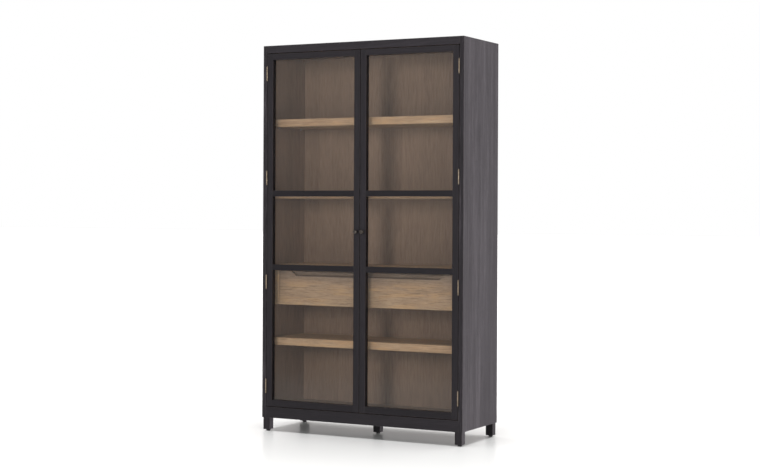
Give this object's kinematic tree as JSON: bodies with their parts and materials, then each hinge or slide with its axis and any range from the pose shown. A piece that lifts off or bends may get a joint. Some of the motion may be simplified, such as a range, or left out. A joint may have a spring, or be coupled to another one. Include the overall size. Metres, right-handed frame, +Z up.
{
  "type": "glazed display cabinet",
  "caption": "Tall glazed display cabinet with inset framed glass doors, thick shelves, a wide finger-pull drawer behind the doors and short square legs.",
  "frame": {"origin": "floor level at the centre of the footprint, on the underside of the centre leg's glide", "axes": "+Z up, the doors face -Y, +X to the right seen from the front"},
  "size_m": [1.2, 0.46, 2.092],
  "materials": {
    "black_oak": "charcoal black stained open-grain oak, low sheen",
    "inner_oak": "grey-brown washed oak veneer, matt",
    "light_oak": "light natural oak, matt",
    "glass": "clear float glass",
    "hinge_metal": "dull warm nickel",
    "dark_bronze": "dark gunmetal, satin",
    "steel": "zinc plated",
    "black_plastic": "matt black"
  },
  "bodies": {
    "cabinet": {"back_panel": "inner_oak", "back_rail": "black_oak", "bottom_front_rail": "black_oak", "bottom_panel": "inner_oak", "bottom_rear_rail": "black_oak", "bottom_stretcher": "black_oak", "center_leg_bolt": "steel", "door_catches": "black_plastic", "drawer_deck": "light_oak", "drawer_runners": "light_oak", "drawer_spacer_left": "light_oak", "drawer_spacer_right": "light_oak", "hinge_frame_leaves": "hinge_metal", "hinge_frame_screws": "hinge_metal", "hinge_pins": "hinge_metal", "leg_center": "black_oak", "leg_front_left": "black_oak", "leg_front_right": "black_oak", "leg_glides": "black_plastic", "leg_rear_left": "black_oak", "leg_rear_right": "black_oak", "leg_screws": "steel", "lower_shelf": "light_oak", "middle_shelf": "light_oak", "shelf_pins": "steel", "side_panel_left": "black_oak", "side_panel_right": "black_oak", "top_panel": "black_oak", "upper_shelf": "light_oak"},
    "door_left": {"door_left_bottom_rail": "black_oak", "door_left_glass": "glass", "door_left_glazing_beads": "black_oak", "door_left_hinge_leaves": "hinge_metal", "door_left_hinge_screws": "hinge_metal", "door_left_hinge_stile": "black_oak", "door_left_knob": "dark_bronze", "door_left_lower_mid_rail": "black_oak", "door_left_meeting_stile": "black_oak", "door_left_strike_plate": "steel", "door_left_top_rail": "black_oak", "door_left_upper_mid_rail": "black_oak"},
    "door_right": {"door_right_bottom_rail": "black_oak", "door_right_glass": "glass", "door_right_glazing_beads": "black_oak", "door_right_hinge_leaves": "hinge_metal", "door_right_hinge_screws": "hinge_metal", "door_right_hinge_stile": "black_oak", "door_right_knob": "dark_bronze", "door_right_lower_mid_rail": "black_oak", "door_right_meeting_stile": "black_oak", "door_right_strike_plate": "steel", "door_right_top_rail": "black_oak", "door_right_upper_mid_rail": "black_oak"},
    "drawer": {"drawer_front": "light_oak", "drawer_box_front": "light_oak", "drawer_side_left": "light_oak", "drawer_side_right": "light_oak", "drawer_back": "light_oak", "drawer_bottom": "light_oak"}
  },
  "joints": [
    {"name": "door_right_hinge", "type": "hinge", "parent": "cabinet", "child": "door_right", "pos_m": [0.57475, -0.222, 1.0915], "axis": [0, 0, 1], "range_deg": [0, 175]},
    {"name": "door_left_hinge", "type": "hinge", "parent": "cabinet", "child": "door_left", "pos_m": [-0.57475, -0.222, 1.0915], "axis": [0, 0, -1], "range_deg": [0, 175]},
    {"name": "drawer_slide", "type": "slide", "parent": "cabinet", "child": "drawer", "axis": [0, -1, 0], "range_m": [0, 0.1986]}
  ],
  "couplings": [
    {"joint": "door_left_hinge", "follows": "door_right_hinge", "ratio": 1},
    {"joint": "drawer_slide", "follows": "door_right_hinge", "m_per_rad": 0.065}
  ]
}
